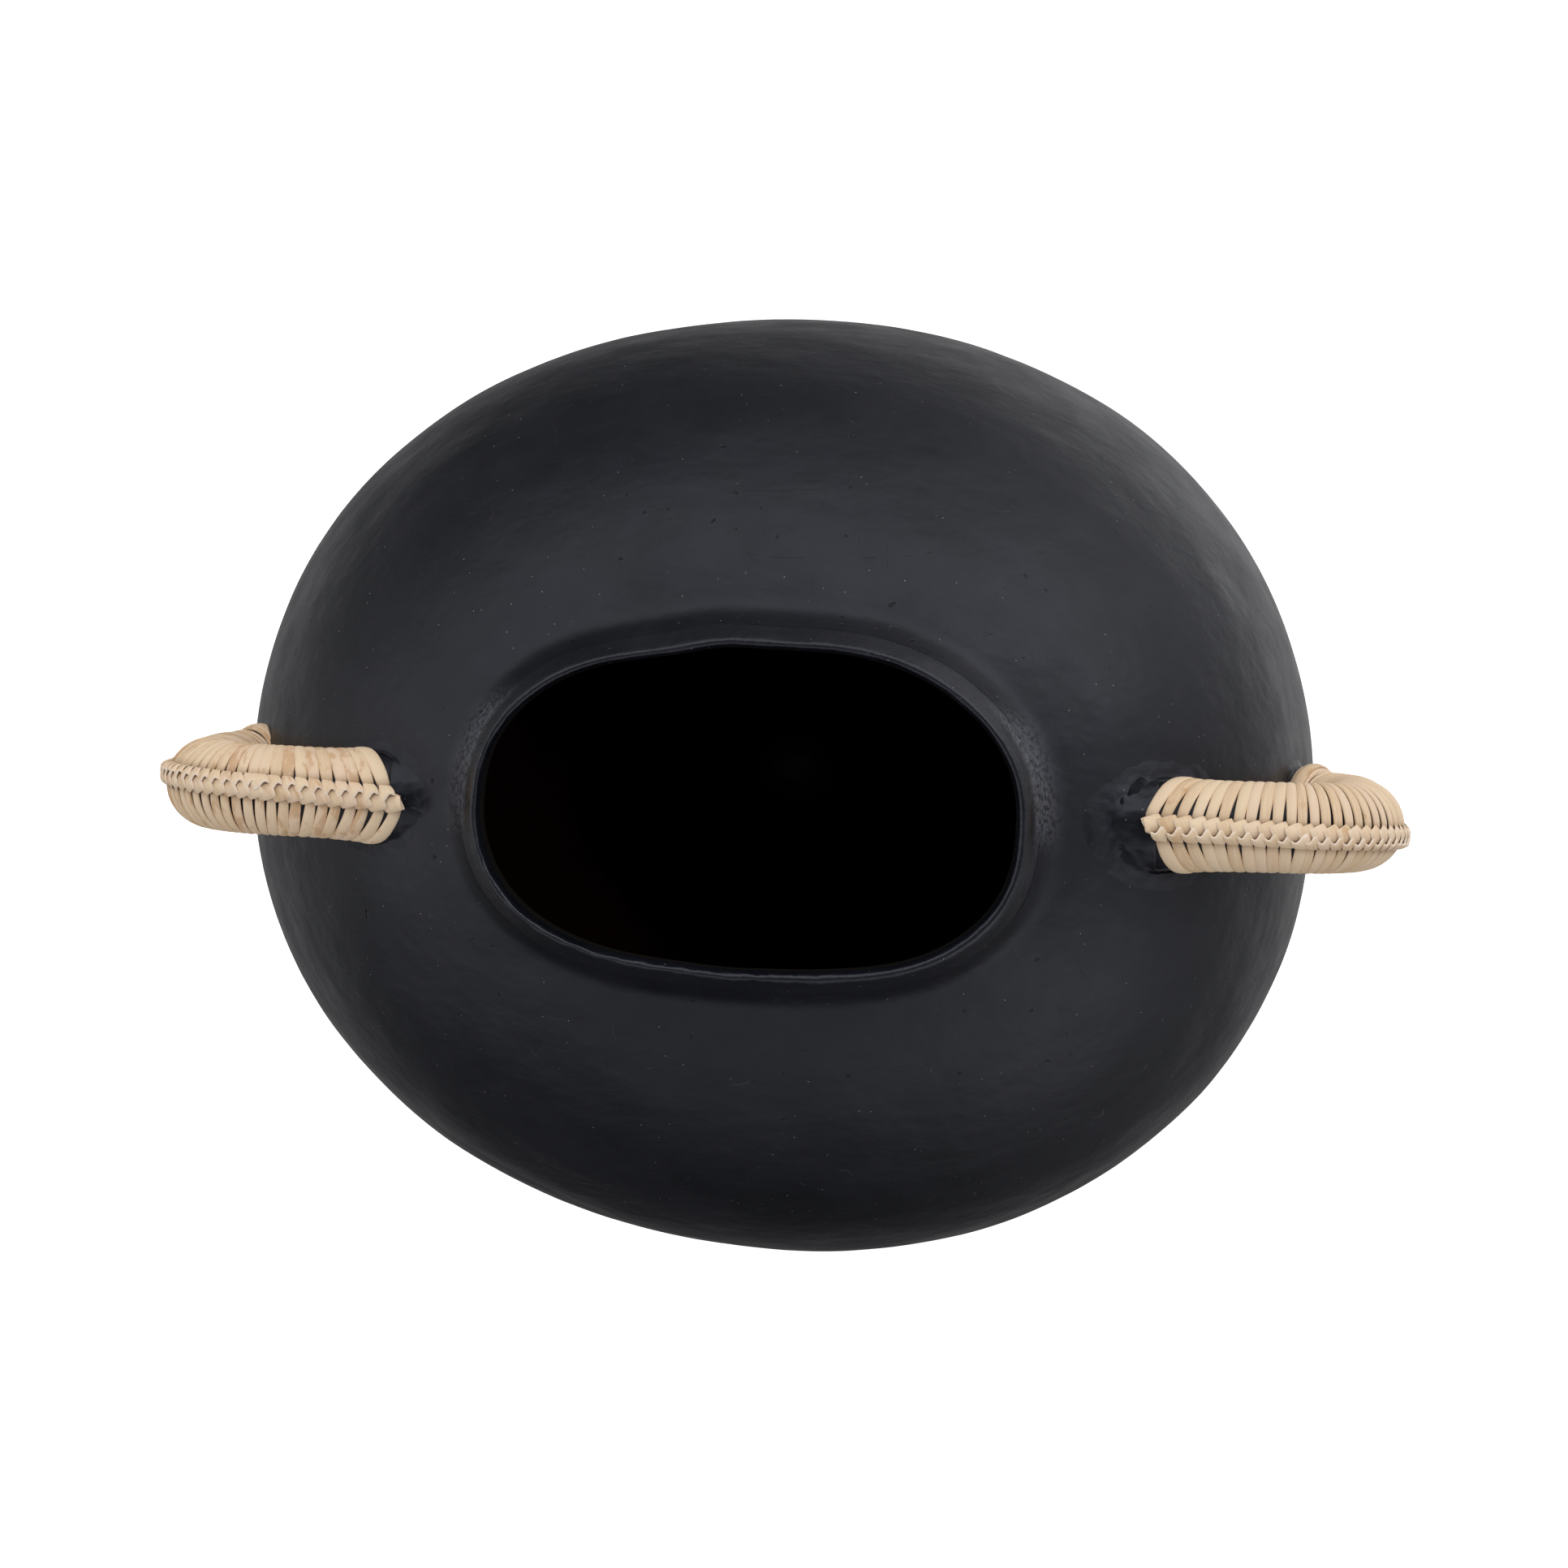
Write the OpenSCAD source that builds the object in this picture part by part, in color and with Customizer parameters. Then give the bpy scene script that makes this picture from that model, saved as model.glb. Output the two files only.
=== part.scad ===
// Oval black clay pot with two cane-bound loop handles.
// Frame: origin on the ground under the middle of the pot, +X through the handles, +Z up.
// Units: millimetres. Angles: degrees.

/* [Vessel] */
// Height from the ground to the top of the lip
pot_height = 300; // [294:1:306]
// Half the width of the belly, along the line of the handles
belly_half_w = 180.9; // [178:0.1:183]
// Half the depth of the belly, across the line of the handles
belly_half_d = 158.5; // [150:0.1:162]
// Extra radius on the diagonals of the belly, which makes it slightly square
belly_square = 0.7; // [0:0.1:2]
// How far the belly's oval is skewed round from the line of the handles
belly_skew = 0.95; // [0:0.05:2]
// How much fuller the belly is at its left end than at its right end
belly_egg = 1.3; // [0:0.1:2]
// Height of the widest level, as a share of the pot's height
belly_share = 0.45; // [0.44:0.005:0.46]
// Half the width of the flat base
base_half_w = 85; // [75:1:95]
// Half the depth of the flat base
base_half_d = 75; // [65:1:85]
// Thickness of the wall
wall = 7.5; // [6.5:0.5:8.5]
// Thickness of the base slab
floor_t = 9; // [8:0.5:11]

/* [Mouth] */
// Half the width of the mouth, at the crest of the lip
mouth_half_w = 84.7; // [80:0.1:88]
// Half the depth of the mouth, at the crest of the lip
mouth_half_d = 53.2; // [48:0.1:58]
// Squareness of the mouth's oval: 2 is an ellipse, more is nearer a rectangle
mouth_power = 2.4; // [2:0.05:3]
// Place of the mouth's centre along the line of the handles
mouth_x = -4.5; // [-6:0.1:6]
// Place of the mouth's centre across the line of the handles
mouth_y = 0.8; // [-6:0.1:6]
// Turn of the mouth about the vertical
mouth_turn = -1.6; // [-5:0.1:5]
// Thickness of the lip
lip_t = 7; // [5:0.5:8]
// Height of the neck, from the shoulder to the top of the lip
neck_height = 20; // [18:0.5:22]
// Height of the lip's own coil of clay
lip_height = 10; // [8:0.5:11]
// Width of the hollow curve between neck and shoulder
neck_flare = 11; // [9:0.5:13]

/* [Handles] */
// Diameter of the clay loop under the cane
core_d = 28; // [27:0.5:28.5]
// Distance of the right handle's outermost point from the centre
right_reach = 204.5; // [203:0.5:205]
// Distance of the left handle's outermost point from the centre
left_reach = 200; // [199:0.5:202]
// Place of both handles across their line
handle_y = -1.5; // [-4:0.1:4]
// Height of the right handle's upper leg, as a share of the pot's height
right_leg_share = 0.863; // [0.86:0.001:0.87]
// Height of the left handle's upper leg, as a share of the pot's height
left_leg_share = 0.868; // [0.862:0.001:0.871]
// Height at which the lower leg meets the wall, as a share of the pot's height
foot_share = 0.63; // [0.62:0.005:0.64]
// Radius of the loop's two bends, at its axis
bend_r = 23.5; // [22:0.5:24]

/* [Cane] */
// Thickness of the flat cane
cane_t = 1.25; // [1:0.05:1.4]
// Gap between one turn of cane and the next
turn_gap = 0.3; // [0.2:0.05:0.5]
// Distance from the centre at which the binding starts, on the ridge
binding_start = 117; // [116:0.5:118]
// Lean of the first turn at the upper foot
first_lean = 41; // [38:1:42]
// Turns of cane on the upper leg
leg_turns = 10; // [8:1:11]
// Turns of cane on the upper bend
bend_turns = 14; // [12:1:16]
// Turns of cane on the straight drop between the bends
drop_turns = 6; // [5:1:7]
// Turns of cane on the lower bend
foot_turns = 7; // [6:1:9]
// Length of the wider band at the lower foot
end_band_l = 7; // [6:0.5:8]
// Extra radius of the wider bands at the feet
band_bulge = 2.6; // [2:0.1:3.4]
// Diameter of a hitch on the ridge
hitch_d = 3; // [2.4:0.1:3.2]

/* [Hidden] */

clay = [0.08, 0.08, 0.09];
luting_clay = [0.15, 0.15, 0.16];
cane = [0.86, 0.75, 0.58];
cane_edge = [0.80, 0.65, 0.48];
left = -1;                 // side of a handle
right = 1;

segments = 64;             // points round each level of the vessel
steps = 10;                // levels on the lower wall, and on the shoulder
foot_steps = 5;            // how many of them belong to the foot wall
belly_steps = 5;           // how many belong to the upper belly, below the shoulder
neck_steps = 5;            // levels on the neck, and on the lip's round top
lower_power = 2.1;         // squareness of the lower wall's upright curve
shoulder_power = 1.9;      // squareness of the shoulder's upright curve
shoulder_begin = 0.5;      // how far round its curve the shoulder begins at the neck
lower_begin = 0.3;         // the same for the lower wall at the base

belly_z = pot_height * belly_share;
shoulder_z = pot_height - neck_height;
neck_top_z = pot_height - lip_height;
half_lip = lip_t / 2;
core_r = core_d / 2;
wrap_r = core_r + cane_t;
ridge_r = wrap_r + hitch_d / 2;
ridge_top_r = wrap_r + hitch_d;
foot_z = pot_height * foot_share;
collar_sides = 28;         // facets round a collar
collar_height = 3;         // how far a collar climbs the loop
upper_spread = 5;          // how far the collars spread round the upper and lower feet
lower_spread = 7;
bedding = 1.5;             // how deep the loops and collars are pressed into the wall

// ---- Outlines of the levels, seen from above ----

function polar(r, a) = [r * cos(a), r * sin(a)];

// An oval that is slightly square, skewed and fuller at its left end.
function belly_point(a) = polar((belly_half_w + belly_half_d) / 2
    + (belly_half_w - belly_half_d) / 2 * cos(2 * a) + belly_square * (1 - cos(4 * a))
    - belly_skew * sin(2 * a) - belly_egg * cos(3 * a), a);

function base_point(a) = polar((base_half_w + base_half_d) / 2
    + (base_half_w - base_half_d) / 2 * cos(2 * a), a);

// Radius of a squarish oval in the direction a.
function oval_radius(half_w, half_d, a) =
    pow(pow(abs(cos(a)) / half_w, mouth_power) + pow(abs(sin(a)) / half_d, mouth_power),
        -1 / mouth_power);

// The mouth's outline about its own centre, "out" outside the crest of the lip.
function mouth_shape(a, out) =
    polar(oval_radius(mouth_half_w + out, mouth_half_d + out, a - mouth_turn), a);

function mouth_point(a, out) = [mouth_x, mouth_y] + mouth_shape(a, out);

// The shoulder's outline, from the neck at w = 0 to the belly at w = 1.
function shoulder_point(a, w) = (1 - w) * (1 - w) * [mouth_x, mouth_y]
    + (1 - w) * mouth_shape(a, neck_flare) + w * belly_point(a);

function lower_point(a, w) = (1 - w) * base_point(a) + w * belly_point(a);

// ---- Upright curves of the wall ----

// Share of full height at w, which runs from 0 at the narrow end to 1 at the belly.
function rise(w, begin, power) =
    let (u = (w + begin) / (1 + begin), u0 = begin / (1 + begin))
    pow((1 - pow(u, power)) / (1 - pow(u0, power)), 1 / power);

// The reverse of rise().
function w_at(share, begin, power) =
    let (u0 = begin / (1 + begin))
    pow(1 - pow(share, power) * (1 - pow(u0, power)), 1 / power) * (1 + begin) - begin;

function shoulder_rise(w) = rise(w, shoulder_begin, shoulder_power);
function lower_rise(w) = rise(w, lower_begin, lower_power);

// Distance of the shoulder's outside from the centre plane on one side of the pot,
// "y" off the handle's own line, at height z.
function wall_x(side, y, z) =
    let (w = w_at((z - belly_z) / (shoulder_z - belly_z), shoulder_begin, shoulder_power),
        target = handle_y + side * y,
        first = side == right ? 0 : 180,
        r = norm(shoulder_point(first, w)),
        a = first + side * asin(target / r),
        b = a + side * asin((target - shoulder_point(a, w)[1]) / r))
    abs(shoulder_point(b, w)[0]);

// ---- Levels of points ----

function angles() = [for (i = [0 : segments - 1]) 360 * i / segments];
function inset(p, t) = p * (1 - t / norm(p));
function level(points, z) = [for (p = points) [p[0], p[1], z]];

// Step i of the full count as a share from 0 to 1, closer together at both ends.
function eased(i) = (1 - cos(180 * i / steps)) / 2;
function backwards(list) = [for (i = [len(list) - 1 : -1 : 0]) list[i]];

function lower_level(w, in, z) = level([for (a = angles()) inset(lower_point(a, w), in)], z);
function shoulder_level(w, in, z) = level([for (a = angles()) inset(shoulder_point(a, w), in)], z);
function neck_level(out, z) = level([for (a = angles()) mouth_point(a, out)], z);

// ---- Solids from stacked levels ----

function strip(r0, r1, count) = [for (i = [0 : count - 1])
    let (j = (i + 1) % count)
    each [[r1 + j, r0 + j, r0 + i], [r1 + i, r1 + j, r0 + i]]];

// Closed ring: the levels run up the outside and down the inside, back to the first.
module hollow_ring(levels) {
    count = len(levels[0]);
    last = len(levels) - 1;
    polyhedron(points = [for (l = levels) each l], faces = [for (k = [0 : last])
        each strip(k * count, (k == last ? 0 : k + 1) * count, count)]);
}

// Solid stack with a flat bottom and a flat top.
module solid_stack(levels) {
    count = len(levels[0]);
    last = len(levels) - 1;
    sides = [for (k = [0 : last - 1]) each strip(k * count, (k + 1) * count, count)];
    bottom = [for (i = [0 : count - 1]) i];
    top = [for (i = [count - 1 : -1 : 0]) last * count + i];
    polyhedron(points = [for (l = levels) each l], faces = concat(sides, [bottom], [top]));
}

// ---- Clay vessel ----

floor_w = w_at((belly_z - floor_t) / belly_z, lower_begin, lower_power);
slab_steps = 3;

// The flat slab that the wall is built up from.
module base_slab() color(clay)
    solid_stack([for (i = [0 : slab_steps]) let (w = floor_w * i / slab_steps)
        lower_level(w, 0, belly_z * (1 - lower_rise(w)))]);

// Width and height of step i of the lower wall, from the slab up to the belly.
function low_w(i) = floor_w + (1 - floor_w) * eased(i);
function low_z(i) = belly_z * (1 - lower_rise(low_w(i)));
function low_outside(i) = lower_level(low_w(i), 0, low_z(i));
function low_inside(i) =
    let (w = w_at((belly_z - low_z(i)) / (belly_z - floor_t), lower_begin, lower_power))
    lower_level(w, wall * w, low_z(i));

// The same for the upper wall, from the belly up to the neck. Inside, the levels drop below
// those outside once they are past the belly's own coils.
function top_w(i) = 1 - eased(i);
function top_z(i) = belly_z + (shoulder_z - belly_z) * shoulder_rise(top_w(i));
function top_inside_z(i) =
    top_z(i) - wall * max(0, top_z(i) - top_z(belly_steps)) / (shoulder_z - top_z(belly_steps));
function top_outside(i) = shoulder_level(top_w(i), 0, top_z(i));
function top_inside(i) =
    let (w = w_at((top_inside_z(i) - belly_z) / (shoulder_z - wall - belly_z),
        shoulder_begin, shoulder_power))
    shoulder_level(w, wall * w, top_inside_z(i));

// The wall is built up from coils in five stages, each a closed ring on the one below.
module low_ring(i0, i1) hollow_ring(concat([for (i = [i0 : i1]) low_outside(i)],
    [for (i = [i1 : -1 : i0]) low_inside(i)]));
module top_ring(i0, i1) hollow_ring(concat([for (i = [i0 : i1]) top_outside(i)],
    [for (i = [i1 : -1 : i0]) top_inside(i)]));

module foot_wall() color(clay) low_ring(0, foot_steps);
module lower_belly() color(clay) low_ring(foot_steps, steps);
module upper_belly() color(clay) top_ring(0, belly_steps);
module shoulder_wall() color(clay) top_ring(belly_steps, steps);

module neck_coil() color(clay) hollow_ring(concat(neck_levels(half_lip, shoulder_z),
    backwards(neck_levels(-half_lip, shoulder_z - wall))));

// The hollow curve of the neck, from its flared foot to "out" at the top.
function neck_levels(out, foot) = [for (i = [0 : neck_steps]) let (a = 90 * i / neck_steps)
    neck_level(out + (neck_flare - out) * (1 - sin(a)), foot + (neck_top_z - foot) * (1 - cos(a)))];

// The last coil, smoothed to a rounded lip.
module rim_lip() color(clay)
    hollow_ring(concat([neck_level(half_lip, neck_top_z)],
        [for (i = [0 : 2 * neck_steps]) let (a = 90 * i / neck_steps)
            neck_level(half_lip * cos(a), pot_height - half_lip + half_lip * sin(a))],
        [neck_level(-half_lip, neck_top_z)]));

// ---- Handles: each is drawn pointing along +X, and the left one is turned round ----

// Places where the loop's straight and bent stretches meet are in whole hundredths.
function hundredths(x) = round(x * 100) / 100;
function reach(side) = side == right ? right_reach : left_reach;
function leg_z(side) = hundredths(pot_height * (side == right ? right_leg_share : left_leg_share));
function bend_x(side) = hundredths(reach(side) - ridge_top_r - bend_r);
function foot_x(side) = wall_x(side, 0, foot_z);
function foot_angle(side) = acos((foot_x(side) - bend_x(side)) / bend_r);
function upper_bend_z(side) = leg_z(side) - bend_r;
function lower_bend_z(side) = hundredths(foot_z + bend_r * sin(foot_angle(side)));

module on_side(side) translate([0, handle_y, 0]) rotate([0, 0, side == right ? 0 : 180]) children();

// Part of a round tube of radius r about the loop's axis, with a bore of radius "bore".
module tube_section(r, bore) difference() {
    circle(r, $fn = 48);
    if (bore > 0) circle(bore, $fn = 48);
}

module leg_tube(side, r, bore, x0) translate([x0, 0, leg_z(side)]) rotate([90, 0, 90])
    linear_extrude(bend_x(side) - x0) tube_section(r, bore);

module drop_tube(side, r, bore)
    translate([bend_x(side) + bend_r, 0, lower_bend_z(side)])
    linear_extrude(upper_bend_z(side) - lower_bend_z(side)) tube_section(r, bore);

// Arc of the loop in the XZ plane, from a0 to a1 round from its outermost point, which is
// up towards the leg on the upper bend and down towards the foot on the lower one.
module bend_tube(side, lower, r, bore, a0, a1)
    translate([bend_x(side), 0, lower ? lower_bend_z(side) : upper_bend_z(side)])
        mirror([0, 0, lower ? 1 : 0]) rotate([90, -a0, 0])
            rotate_extrude(angle = a1 - a0, $fn = 96) translate([bend_r, 0]) tube_section(r, bore);

foot_reach = 4;            // how far past the wall's face the lower leg turns, in degrees
leg_root = 96;             // where the upper leg starts before it is cut to the shoulder

// The clay loop. Its upper leg is cut along the shoulder's slope.
module handle_core(side) color(clay) on_side(side) {
    high = leg_z(side) + core_r;
    low = leg_z(side) - core_r;
    difference() {
        leg_tube(side, core_r, 0, leg_root);
        rotate([90, 0, 0]) translate([0, 0, -core_d]) linear_extrude(2 * core_d)
            polygon([[0, low - 1], [wall_x(side, 0, low) - bedding, low - 1],
                [wall_x(side, 0, low) - bedding, low],
                [wall_x(side, 0, min(high, shoulder_z)) - bedding, high], [0, high + 1]]);
    }
    bend_tube(side, false, core_r, 0, 0, 90);
    drop_tube(side, core_r, 0);
    bend_tube(side, true, core_r, 0, 0, foot_angle(side) + foot_reach);
}

// ---- Luted collars: clay smeared round each foot ----

// Point of the wall's face in the direction a round a leg at height z, "r" from its axis.
function foot_point(side, z, r, a) =
    let (y = r * cos(a), h = min(z + r * sin(a), shoulder_z - 0.5))
    [wall_x(side, y, h), y, z + r * sin(a)];

function foot_ring(side, z, r, x_shift) = [for (i = [0 : collar_sides - 1])
    foot_point(side, z, r, 360 * i / collar_sides) + [x_shift, 0, 0]];

// Ring of clay with a hollow slope, from the loop down to the wall "spread" further out.
module collar(side, z, spread) color(luting_clay) on_side(side) {
    hollow_ring([for (p = [[0, -bedding], [1, -bedding], [1, 0.2], [0.4, 0.35 * collar_height],
        [0, collar_height]]) foot_ring(side, z, core_r + p[0] * spread, p[1])]);
}

// ---- Cane binding ----

// A turn's cutting planes, as its points on the ridge side and on the inner side.
function leg_cut(side, i) =
    let (length = bend_x(side) - binding_start,
        x = binding_start + length * i / leg_turns,
        lean = first_lean * (1 - i / leg_turns))
    [[x, leg_z(side) + wrap_r], [x + 2 * wrap_r * tan(lean), leg_z(side) - wrap_r]];

// The point p, moved on by "over" along the line from q.
function stretch(p, q, over) = p + (p - q) * over / norm(p - q);

// Wedge between two cutting planes, "gap" short of the second, reaching past the tube.
module wedge(from, to, gap) {
    over = 2;
    rotate([90, 0, 0]) translate([0, 0, -wrap_r - over]) linear_extrude(2 * (wrap_r + over))
        polygon([stretch(from[0], from[1], over), stretch(from[1], from[0], over),
            stretch(to[1], to[0], over) - [gap, 0], stretch(to[0], to[1], over) - [gap, 0]]);
}

// Turns of flat cane along the whole loop. They crowd together on the inside of the bends.
module cane_turns(side) color(cane) on_side(side) {
    for (i = [1 : leg_turns - 1]) intersection() {
        leg_tube(side, wrap_r, core_r, binding_start);
        wedge(leg_cut(side, i), leg_cut(side, i + 1), turn_gap);
    }
    step = 90 / bend_turns;
    gap_angle = turn_gap / (bend_r + wrap_r) * 180 / PI;
    for (i = [0 : bend_turns - 1])
        bend_tube(side, false, wrap_r, core_r, i * step, (i + 1) * step - gap_angle);
    drop = upper_bend_z(side) - lower_bend_z(side);
    for (i = [0 : drop_turns - 1])
        translate([bend_x(side) + bend_r, 0, lower_bend_z(side) + drop * i / drop_turns])
            linear_extrude(drop / drop_turns - turn_gap) tube_section(wrap_r, core_r);
    foot_step = last_turn_angle(side) / foot_turns;
    for (i = [0 : foot_turns - 1])
        bend_tube(side, true, wrap_r, core_r, i * foot_step + gap_angle, (i + 1) * foot_step);
}

// Angle round the lower bend at which the wider band takes over.
function last_turn_angle(side) = foot_angle(side) - end_band_l / bend_r * 180 / PI;

// The first turn, wider and fuller than the rest.
module upper_end_band(side) color(cane) on_side(side) intersection() {
    leg_tube(side, wrap_r + band_bulge / 4, core_r, binding_start - 5);
    wedge(leg_cut(side, 0), leg_cut(side, 1), turn_gap);
}

// The last turns, wound over each other at the lower foot.
module lower_end_band(side) color(cane) on_side(side)
    bend_tube(side, true, wrap_r + band_bulge, core_r, last_turn_angle(side) + 0.5, foot_angle(side));

// ---- Ridge of hitches ----

// One hitch: a strap laid aslant over the ridge, with a knot at its far end.
module hitch(tilt) {
    strap = 5.2;
    rotate([90, 0, tilt]) {
        cylinder(h = strap, d = hitch_d * 0.8, center = true, $fn = 24);
        translate([0, 0, strap / 2]) sphere(d = hitch_d, $fn = 24);
        translate([0, 0, -strap / 2]) sphere(d = hitch_d * 0.8, $fn = 24);
    }
}

// Hitches along the outer line of the loop, one to each turn of cane.
module ridge_hitches(side) color(cane_edge) on_side(side) {
    tilt = 35;
    length = bend_x(side) - binding_start;
    for (i = [1 : leg_turns - 1])
        translate([binding_start + length * (i + 0.5) / leg_turns, 0, leg_z(side) + ridge_r]) hitch(tilt);
    for (i = [0 : bend_turns - 1]) let (a = 90 - 90 * (i + 0.5) / bend_turns)
        translate([bend_x(side) + (bend_r + ridge_r) * cos(a), 0,
            upper_bend_z(side) + (bend_r + ridge_r) * sin(a)]) rotate([0, 90 - a, 0]) hitch(tilt);
    drop = upper_bend_z(side) - lower_bend_z(side);
    for (i = [0 : drop_turns - 1])
        translate([bend_x(side) + bend_r + ridge_r, 0, upper_bend_z(side) - drop * (i + 0.5) / drop_turns])
            rotate([0, 90, 0]) hitch(tilt);
    for (i = [0 : foot_turns - 1]) let (a = -last_turn_angle(side) * (i + 0.5) / foot_turns)
        translate([bend_x(side) + (bend_r + ridge_r) * cos(a), 0,
            lower_bend_z(side) + (bend_r + ridge_r) * sin(a)]) rotate([0, 90 - a, 0]) hitch(tilt);
}

// The strip's rolled end, at the start of the ridge.
module cane_tail(side) color(cane_edge) on_side(side)
    translate([binding_start - 2, -0.5, leg_z(side) + wrap_r + 2.2]) rotate([0, 80, -12])
        difference() {
            cylinder(h = 7, d = 4.2, center = true, $fn = 32);
            cylinder(h = 8, d = 2.4, center = true, $fn = 32);
        }

base_slab();
foot_wall();
lower_belly();
upper_belly();
shoulder_wall();
neck_coil();
rim_lip();
handle_core(left);  // left_handle_core
handle_core(right);  // right_handle_core
collar(left, leg_z(left), upper_spread);  // left_upper_collar
collar(left, foot_z, lower_spread);  // left_lower_collar
collar(right, leg_z(right), upper_spread);  // right_upper_collar
collar(right, foot_z, lower_spread);  // right_lower_collar
cane_turns(left);  // left_cane_turns
cane_turns(right);  // right_cane_turns
ridge_hitches(left);  // left_ridge_hitches
ridge_hitches(right);  // right_ridge_hitches
upper_end_band(left);  // left_upper_end_band
lower_end_band(left);  // left_lower_end_band
upper_end_band(right);  // right_upper_end_band
lower_end_band(right);  // right_lower_end_band
cane_tail(left);  // left_cane_tail
cane_tail(right);  // right_cane_tail
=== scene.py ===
import math
from itertools import product

import bmesh
import bpy
import numpy as np
from mathutils import Matrix, Vector


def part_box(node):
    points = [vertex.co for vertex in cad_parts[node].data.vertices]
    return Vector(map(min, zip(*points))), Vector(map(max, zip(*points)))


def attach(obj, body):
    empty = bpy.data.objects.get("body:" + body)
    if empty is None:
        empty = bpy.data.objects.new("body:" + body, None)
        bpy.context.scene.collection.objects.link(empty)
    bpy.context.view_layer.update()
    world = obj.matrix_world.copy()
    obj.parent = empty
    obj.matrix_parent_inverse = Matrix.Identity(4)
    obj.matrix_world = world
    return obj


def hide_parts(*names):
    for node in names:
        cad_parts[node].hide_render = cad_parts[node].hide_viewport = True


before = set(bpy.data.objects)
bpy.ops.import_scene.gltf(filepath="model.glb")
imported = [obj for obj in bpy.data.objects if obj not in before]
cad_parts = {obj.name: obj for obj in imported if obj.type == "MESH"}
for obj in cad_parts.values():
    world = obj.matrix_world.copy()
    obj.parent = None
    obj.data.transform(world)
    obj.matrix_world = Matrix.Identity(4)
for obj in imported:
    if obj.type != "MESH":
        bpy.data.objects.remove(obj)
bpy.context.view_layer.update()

# An oval black clay pot with two loop handles bound in flat cane. Lengths are in millimetres
# until a mesh is made, and angles are in radians. The pot's heights, widths and centres come
# from the frame's boxes. The driving values below are the curves that a box can't give.

MM = 0.001
TAU = 2 * math.pi


def corners(node):
    """Lowest and highest corner of a CAD node, in millimetres."""
    low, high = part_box(node)
    return np.array(low) / MM, np.array(high) / MM


# ---- The vessel's outlines ----

lip_low, lip_high = corners("rim_lip")
belly_low, belly_high = corners("lower_belly")
pot_top = lip_high[2]
neck_top = lip_low[2]
neck_foot = corners("shoulder_wall")[1][2]
inner_neck_foot = corners("neck_coil")[0][2]
belly_z = belly_high[2]
floor_z = corners("base_slab")[1][2]
wall = neck_foot - inner_neck_foot

belly_half_w, belly_half_d = (belly_high - belly_low)[:2] / 2
belly_egg = -(belly_high + belly_low)[0] / 2
belly_square = 0.7               # how far the belly's outline is pushed out at its diagonals
belly_skew = 0.95                # how far it leans
base_half_w = 85
base_half_d = 75
half_lip = 3.5                   # half of the lip's thickness, at its foot
mouth_half_w, mouth_half_d = (lip_high - lip_low)[:2] / 2 - half_lip
mouth_centre = (lip_high + lip_low)[:2] / 2
mouth_power = 2.4                # how square the mouth is: an even oval has 2
mouth_turn = math.radians(-1.6)
neck_flare = 11                  # how far outside the crest the neck's foot is
shoulder_curve = (0.5, 1.9)      # where the curve begins, and its squareness
lower_curve = (0.3, 2.1)

# The maker's hands have pressed the lip out of its even oval: at which bearings, and how far out.
lip_presses = [(207, 3.0), (180, 3.4), (124, -2.2), (48, 1.4), (20, -1.7), (318, 1.5)]
press_spread = 19
foot_press = 0.7                 # share of that unevenness that the neck's foot has


def noise(points, size, seed):
    """Smooth noise from about -1 to 1 at each point, in lumps about "size" across."""
    random = np.random.default_rng(seed)
    table = random.permutation(256)
    slopes = random.normal(size=(256, 3))
    slopes /= np.linalg.norm(slopes, axis=1)[:, None]
    flat = np.asarray(points, float).reshape(-1, 3) / size
    cell = np.floor(flat).astype(int)
    part = flat - cell
    ease = part ** 3 * (part * (part * 6 - 15) + 10)
    total = np.zeros(len(flat))
    for corner in product((0, 1), repeat=3):
        x, y, z = ((cell + corner) % 256).T
        slope = slopes[table[(table[(table[x] + y) % 256] + z) % 256]]
        weight = np.prod(np.where(corner, ease, 1 - ease), axis=1)
        total += weight * np.einsum("ij,ij->i", slope, part - corner)
    return 1.6 * total.reshape(np.shape(points)[:-1])


def smooth_step(low, high, x):
    t = np.clip((x - low) / (high - low), 0, 1)
    return t * t * (3 - 2 * t)


def bell(a, middle, spread):
    """1 at the bearing "middle" and less away from it, over "spread", both in degrees."""
    away = (a - math.radians(middle) + math.pi) % TAU - math.pi
    return np.exp(-(away / math.radians(spread)) ** 2)


def polar(r, a):
    return np.stack([r * np.cos(a), r * np.sin(a)], -1)


def belly_xy(a):
    mean, stretch = (belly_half_w + belly_half_d) / 2, (belly_half_w - belly_half_d) / 2
    return polar(mean + stretch * np.cos(2 * a) + belly_square * (1 - np.cos(4 * a))
                 - belly_skew * np.sin(2 * a) - belly_egg * np.cos(3 * a), a)


def base_xy(a):
    mean, stretch = (base_half_w + base_half_d) / 2, (base_half_w - base_half_d) / 2
    return polar(mean + stretch * np.cos(2 * a), a)


def mouth_shape(a, out):
    """The mouth's outline about its own centre, "out" outside the crest of the lip."""
    wobble = 0.9 * noise(np.stack([60 * np.cos(a), 60 * np.sin(a), 0 * a], -1), 30, 11)
    turned = a - mouth_turn
    r = (np.abs(np.cos(turned) / (mouth_half_w + out)) ** mouth_power
         + np.abs(np.sin(turned) / (mouth_half_d + out)) ** mouth_power) ** (-1 / mouth_power)
    return polar(r + wobble, a)


def mouth_xy(a, out):
    return mouth_centre + mouth_shape(a, out)


def press_out(a):
    """How far out the lip is pressed at each angle."""
    return sum(amount * bell(a, place, press_spread) for place, amount in lip_presses)


def lip_level(a, out, z):
    """One level of the neck or lip, which is pressed more the higher it is."""
    share = foot_press + (1 - foot_press) * smooth_step(neck_foot, pot_top - 3, z)
    return np.concatenate([mouth_xy(a, out + press_out(a) * share), np.full((len(a), 1), z)], 1)


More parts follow.
